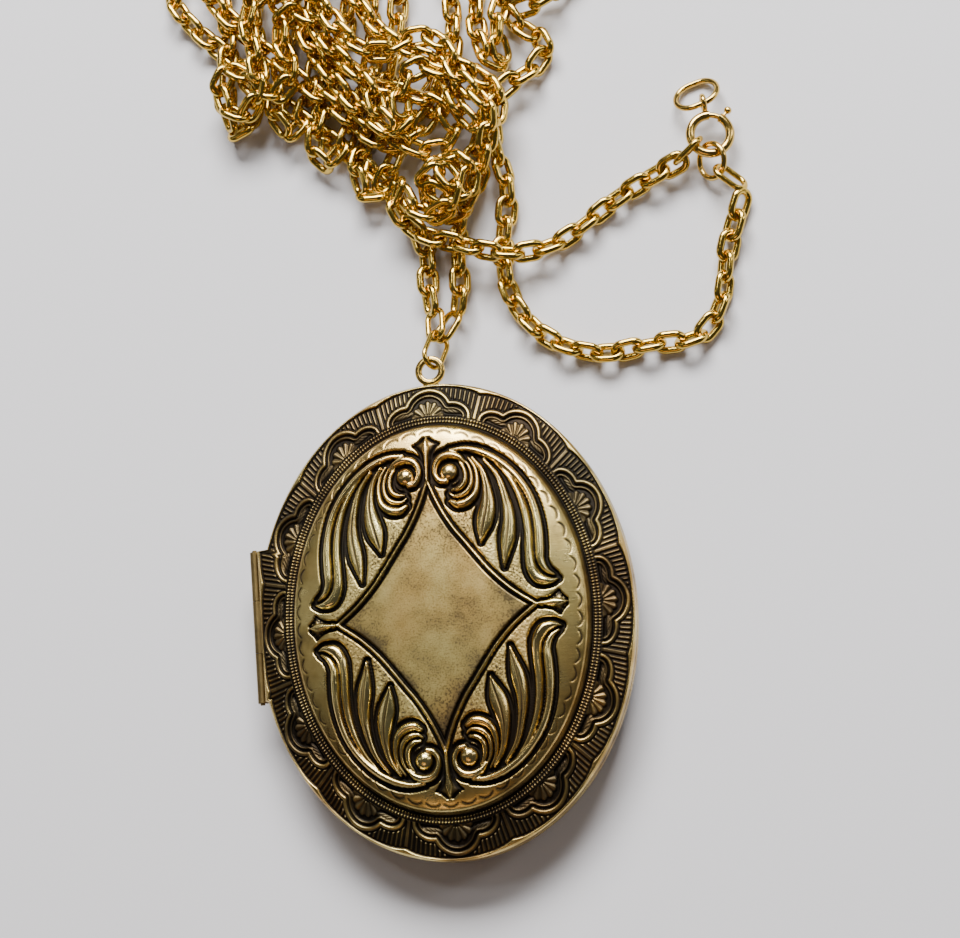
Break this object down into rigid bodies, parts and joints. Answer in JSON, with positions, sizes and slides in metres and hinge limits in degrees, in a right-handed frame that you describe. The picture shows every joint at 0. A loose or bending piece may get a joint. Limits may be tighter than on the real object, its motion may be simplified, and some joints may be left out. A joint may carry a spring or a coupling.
{
  "type": "locket",
  "caption": "Oval hinged picture locket with stamped ornament, on a fine cable chain that is fastened by a spring-ring clasp, lying on its back.",
  "frame": {"origin": "centre of the flat on the rear cover's crown, on which the locket lies", "axes": "+Z out of the front cover, +Y along the oval's long axis towards the bail, +X to the right seen from the front, hinge on the -X side"},
  "size_m": [0.0658, 0.1074, 0.0092],
  "materials": {
    "antique_brass": "antiqued",
    "inner_brass": "satin",
    "bright_gold": "polished",
    "chain_gold": "polished",
    "spring_steel": "drawn",
    "clear_window": "clear",
    "blank_card": "matt card"
  },
  "bodies": {
    "rear_half": {"rear_cover": "antique_brass", "snap_catch": "inner_brass", "rear_liner": "inner_brass", "rear_photo_card": "blank_card", "rear_photo_window": "clear_window", "rear_photo_frame": "inner_brass", "rear_hinge_knuckles": "inner_brass", "hinge_pin": "inner_brass", "bail_loop": "bright_gold", "pendant_ring": "chain_gold", "lead_link_left": "chain_gold", "lead_link_right": "chain_gold", "chain_lead_left": "chain_gold", "chain_lead_right": "chain_gold", "chain_heap": "chain_gold", "chain_loop": "chain_gold", "chain_tail": "chain_gold", "clasp_body": "bright_gold", "clasp_spring": "spring_steel", "clasp_eye": "bright_gold", "chain_end_ring": "bright_gold", "clasp_end_link": "chain_gold", "ring_end_link": "chain_gold"},
    "front_half": {"front_cover": "antique_brass", "front_liner": "inner_brass", "front_photo_card": "blank_card", "front_photo_window": "clear_window", "front_photo_frame": "inner_brass", "front_hinge_knuckle": "inner_brass"},
    "trigger": {"clasp_bolt": "bright_gold", "clasp_trigger": "bright_gold"},
    "free_ring": {"clasp_ring": "bright_gold"}
  },
  "joints": [
    {"name": "cover_hinge", "type": "hinge", "parent": "rear_half", "child": "front_half", "pos_m": [-0.0207, 0.0014, 0.0046], "axis": [0, -1, 0], "range_deg": [0, 175]},
    {"name": "clasp_trigger_slide", "type": "hinge", "parent": "rear_half", "child": "trigger", "pos_m": [0.0324, 0.0499, 0.00225], "axis": [-0.2079, 0, -0.9781], "range_deg": [0, 40], "stiffness_Nm_per_rad": 0.0000006, "springref_deg": -17.19, "deforming": ["clasp_spring"]},
    {"name": "clasp_ring_swing", "type": "hinge", "parent": "rear_half", "child": "free_ring", "pos_m": [0.03197, 0.05346, 0.00234], "axis": [0.9673, 0.2538, 0], "range_deg": [0, 120]}
  ]
}
